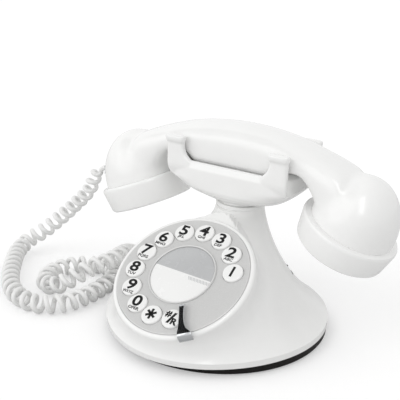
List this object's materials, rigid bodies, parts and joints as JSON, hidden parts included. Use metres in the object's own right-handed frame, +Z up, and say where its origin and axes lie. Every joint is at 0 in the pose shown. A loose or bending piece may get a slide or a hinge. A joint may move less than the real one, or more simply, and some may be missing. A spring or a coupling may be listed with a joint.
{
  "type": "push-button desk telephone",
  "caption": "White retro desk telephone with a bell-shaped base, tilted round push-button dial, boat-shaped cradle and a handset on a curly cord.",
  "frame": {"origin": "centre of the footprint box of the telephone without its cord, at the table surface", "axes": "+X along the handset towards the earpiece, -Y towards the user and the dial, +Z up"},
  "size_m": [0.3072, 0.1837, 0.137],
  "materials": {
    "white_abs": "glossy moulded ABS, white",
    "white_pvc": "satin PVC jacket, white",
    "black_abs": "fine-grained moulded ABS, black",
    "black_rubber": "matt moulded rubber",
    "grey_abs": "satin moulded ABS, silver-grey",
    "label_print": "printed card, silver-grey over white",
    "chrome": "polished chrome plate",
    "steel": "plain zinc-plated steel",
    "circuit_board": "green solder mask on glass-fibre board",
    "clear_polycarbonate": "clear moulded polycarbonate"
  },
  "bodies": {
    "base": {"ballast_weight": "steel", "base_plate": "black_abs", "base_plug": "clear_polycarbonate", "body_shell": "white_abs", "cord_socket": "black_abs", "cradle": "white_abs", "dial_bezel": "white_abs", "dial_panel": "grey_abs", "finger_stop": "chrome", "foot_1": "black_rubber", "foot_2": "black_rubber", "foot_3": "black_rubber", "foot_4": "black_rubber", "handset_cord": "white_pvc", "hook_switch": "black_abs", "keypad_board": "circuit_board", "keypad_sheet": "black_rubber", "label_card": "label_print", "label_ring": "grey_abs", "line_socket": "black_abs", "main_board": "circuit_board", "neck_collar": "white_abs", "plate_screw_1": "steel", "plate_screw_2": "steel", "plate_screw_3": "steel", "ringer_speaker": "black_abs", "ringer_switch_housing": "black_abs"},
    "handset": {"handset_shell": "white_abs", "mouthpiece_cap": "white_abs", "earpiece_cap": "white_abs", "microphone_capsule": "black_abs", "receiver_capsule": "black_abs", "handset_weight": "steel", "handset_jack": "black_abs", "handset_plug": "clear_polycarbonate"},
    "hook_plunger_body": {"hook_plunger": "white_abs"},
    "ringer_slider_body": {"ringer_slider": "black_abs"},
    "key_1_body": {"key_1": "white_abs"},
    "key_2_body": {"key_2": "white_abs"},
    "key_3_body": {"key_3": "white_abs"},
    "key_4_body": {"key_4": "white_abs"},
    "key_5_body": {"key_5": "white_abs"},
    "key_6_body": {"key_6": "white_abs"},
    "key_7_body": {"key_7": "white_abs"},
    "key_8_body": {"key_8": "white_abs"},
    "key_9_body": {"key_9": "white_abs"},
    "key_0_body": {"key_0": "white_abs"},
    "key_star_body": {"key_star": "white_abs"},
    "key_hash_body": {"key_hash": "white_abs"}
  },
  "joints": [
    {"name": "handset_lift", "type": "slide", "parent": "base", "child": "handset", "axis": [0, 0, 1], "range_m": [0, 0.08]},
    {"name": "hook_plunger_rise", "type": "slide", "parent": "base", "child": "hook_plunger_body", "axis": [0, 0, 1], "range_m": [0, 0.004]},
    {"name": "ringer_switch", "type": "slide", "parent": "base", "child": "ringer_slider_body", "axis": [-0.6691, 0.7431, 0], "range_m": [0, 0.003]},
    {"name": "key_1_press", "type": "slide", "parent": "base", "child": "key_1_body", "axis": [0, 0.5446, -0.8387], "range_m": [0, 0.0012], "stiffness_N_per_m": 400},
    {"name": "key_2_press", "type": "slide", "parent": "base", "child": "key_2_body", "axis": [0, 0.5446, -0.8387], "range_m": [0, 0.0012], "stiffness_N_per_m": 400},
    {"name": "key_3_press", "type": "slide", "parent": "base", "child": "key_3_body", "axis": [0, 0.5446, -0.8387], "range_m": [0, 0.0012], "stiffness_N_per_m": 400},
    {"name": "key_4_press", "type": "slide", "parent": "base", "child": "key_4_body", "axis": [0, 0.5446, -0.8387], "range_m": [0, 0.0012], "stiffness_N_per_m": 400},
    {"name": "key_5_press", "type": "slide", "parent": "base", "child": "key_5_body", "axis": [0, 0.5446, -0.8387], "range_m": [0, 0.0012], "stiffness_N_per_m": 400},
    {"name": "key_6_press", "type": "slide", "parent": "base", "child": "key_6_body", "axis": [0, 0.5446, -0.8387], "range_m": [0, 0.0012], "stiffness_N_per_m": 400},
    {"name": "key_7_press", "type": "slide", "parent": "base", "child": "key_7_body", "axis": [0, 0.5446, -0.8387], "range_m": [0, 0.0012], "stiffness_N_per_m": 400},
    {"name": "key_8_press", "type": "slide", "parent": "base", "child": "key_8_body", "axis": [0, 0.5446, -0.8387], "range_m": [0, 0.0012], "stiffness_N_per_m": 400},
    {"name": "key_9_press", "type": "slide", "parent": "base", "child": "key_9_body", "axis": [0, 0.5446, -0.8387], "range_m": [0, 0.0012], "stiffness_N_per_m": 400},
    {"name": "key_0_press", "type": "slide", "parent": "base", "child": "key_0_body", "axis": [0, 0.5446, -0.8387], "range_m": [0, 0.0012], "stiffness_N_per_m": 400},
    {"name": "key_star_press", "type": "slide", "parent": "base", "child": "key_star_body", "axis": [0, 0.5446, -0.8387], "range_m": [0, 0.0012], "stiffness_N_per_m": 400},
    {"name": "key_hash_press", "type": "slide", "parent": "base", "child": "key_hash_body", "axis": [0, 0.5446, -0.8387], "range_m": [0, 0.0012], "stiffness_N_per_m": 400}
  ],
  "couplings": [
    {"joint": "hook_plunger_rise", "follows": "handset_lift", "ratio": 0.05}
  ]
}
